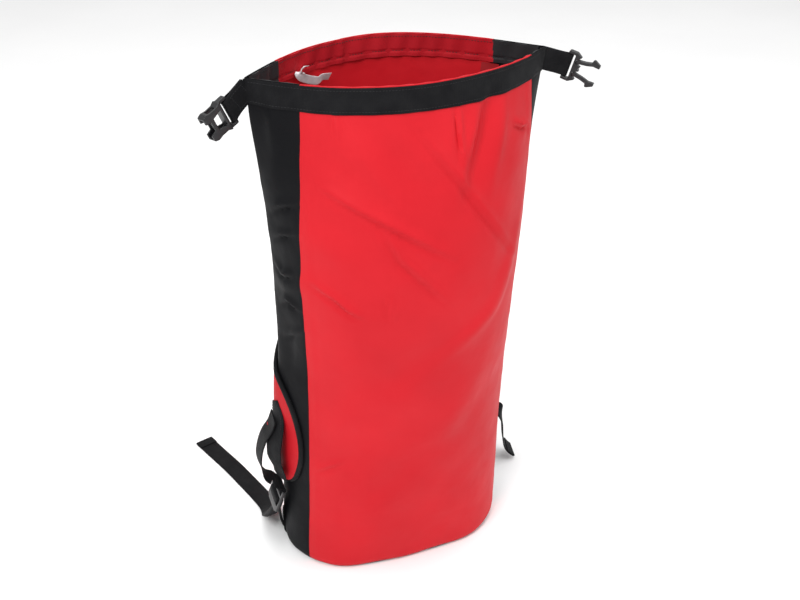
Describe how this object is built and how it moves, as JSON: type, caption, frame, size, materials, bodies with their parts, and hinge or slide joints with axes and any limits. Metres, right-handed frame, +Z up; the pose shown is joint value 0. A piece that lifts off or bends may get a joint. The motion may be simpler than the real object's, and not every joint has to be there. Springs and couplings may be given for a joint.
{
  "type": "dry bag",
  "caption": "Roll-top dry bag of coated cloth with contrast side panels, webbing mouth band, side-release buckle and padded shoulder straps, standing open.",
  "frame": {"origin": "middle of the base on the floor", "axes": "+Z up, -Y towards the front panel, -X towards the side with the socket half of the buckle"},
  "size_m": [0.4376, 0.372, 0.6],
  "materials": {
    "front_red": "satin coated cloth",
    "back_red": "satin coated cloth",
    "side_black": "satin coated cloth",
    "base_black": "satin coated cloth",
    "hem_red": "coated cloth",
    "webbing_black": "woven webbing",
    "buckle_black": "fine moulded texture",
    "stiffener_plastic": "plain strip",
    "seam_tape": "welded tape",
    "label_white": "blank satin tape",
    "pad_red": "satin coated cloth",
    "pad_foam": "closed-cell foam",
    "pad_mesh": "spacer mesh",
    "binding_black": "folded tape"
  },
  "bodies": {
    "bag": {"front_panel": "front_red", "back_panel": "back_red", "left_side_panel": "side_black", "right_side_panel": "side_black", "base_panel": "base_black", "left_front_seam_tape": "seam_tape", "right_front_seam_tape": "seam_tape", "left_back_seam_tape": "seam_tape", "right_back_seam_tape": "seam_tape", "front_hem_facing": "hem_red", "back_hem_facing": "hem_red", "mouth_stiffener": "stiffener_plastic", "mouth_band": "webbing_black", "inner_label": "label_white", "left_buckle_webbing": "webbing_black", "right_buckle_webbing": "webbing_black", "strap_yoke_patch": "webbing_black", "left_lock_loop": "webbing_black", "left_lower_webbing": "webbing_black", "left_lower_anchor": "webbing_black", "left_webbing_tail": "webbing_black", "right_lock_loop": "webbing_black", "right_lower_webbing": "webbing_black", "right_lower_anchor": "webbing_black", "right_webbing_tail": "webbing_black"},
    "female_buckle": {"female_buckle": "buckle_black"},
    "male_buckle": {"male_buckle": "buckle_black"},
    "upper_prong": {"upper_prong": "buckle_black"},
    "lower_prong": {"lower_prong": "buckle_black"},
    "left_strap": {"left_strap_lining": "pad_mesh", "left_strap_foam": "pad_foam", "left_strap_face": "pad_red", "left_strap_binding": "binding_black", "left_strap_webbing": "webbing_black"},
    "right_strap": {"right_strap_lining": "pad_mesh", "right_strap_foam": "pad_foam", "right_strap_face": "pad_red", "right_strap_binding": "binding_black", "right_strap_webbing": "webbing_black"},
    "left_lock": {"left_ladder_lock": "buckle_black"},
    "right_lock": {"right_ladder_lock": "buckle_black"}
  },
  "joints": [
    {"name": "socket_swing", "type": "hinge", "parent": "bag", "child": "female_buckle", "pos_m": [-0.1725, -0.018, 0.5755], "axis": [0.4067, 0.1139, -0.9064], "range_deg": [-70, 70]},
    {"name": "male_swing", "type": "hinge", "parent": "bag", "child": "male_buckle", "pos_m": [0.2023, -0.018, 0.579], "axis": [-0.2349, 0.154, -0.9597], "range_deg": [-70, 70]},
    {"name": "upper_prong_press", "type": "hinge", "parent": "male_buckle", "child": "upper_prong", "pos_m": [0.21167, -0.02629, 0.58267], "axis": [0.6716, 0.7395, -0.0458], "range_deg": [0, 9], "stiffness_Nm_per_rad": 0.3},
    {"name": "lower_prong_press", "type": "hinge", "parent": "male_buckle", "child": "lower_prong", "pos_m": [0.20838, -0.02413, 0.56923], "axis": [-0.6716, -0.7395, 0.0458], "range_deg": [0, 9], "stiffness_Nm_per_rad": 0.3},
    {"name": "left_strap_swing", "type": "hinge", "parent": "bag", "child": "left_strap", "pos_m": [-0.031, 0.0645, 0.4275], "axis": [1, 0, 0], "range_deg": [0, 25], "deforming": ["left_strap_lining", "left_strap_foam", "left_strap_face", "left_strap_binding", "left_strap_webbing"]},
    {"name": "right_strap_swing", "type": "hinge", "parent": "bag", "child": "right_strap", "pos_m": [0.048, 0.0645, 0.4275], "axis": [1, 0, 0], "range_deg": [0, 25], "deforming": ["right_strap_lining", "right_strap_foam", "right_strap_face", "right_strap_binding", "right_strap_webbing"]},
    {"name": "left_lock_swing", "type": "hinge", "parent": "bag", "child": "left_lock", "pos_m": [-0.1435, -0.009, 0.097], "axis": [0, 0.9661, 0.258], "range_deg": [-8, 20], "deforming": ["left_lower_webbing", "left_webbing_tail"]},
    {"name": "right_lock_swing", "type": "hinge", "parent": "bag", "child": "right_lock", "pos_m": [0.121, 0.075, 0.112], "axis": [0.77, -0.638, 0], "range_deg": [-10, 30], "deforming": ["right_lower_webbing", "right_webbing_tail"]}
  ],
  "couplings": [
    {"joint": "lower_prong_press", "follows": "upper_prong_press", "ratio": 1}
  ]
}
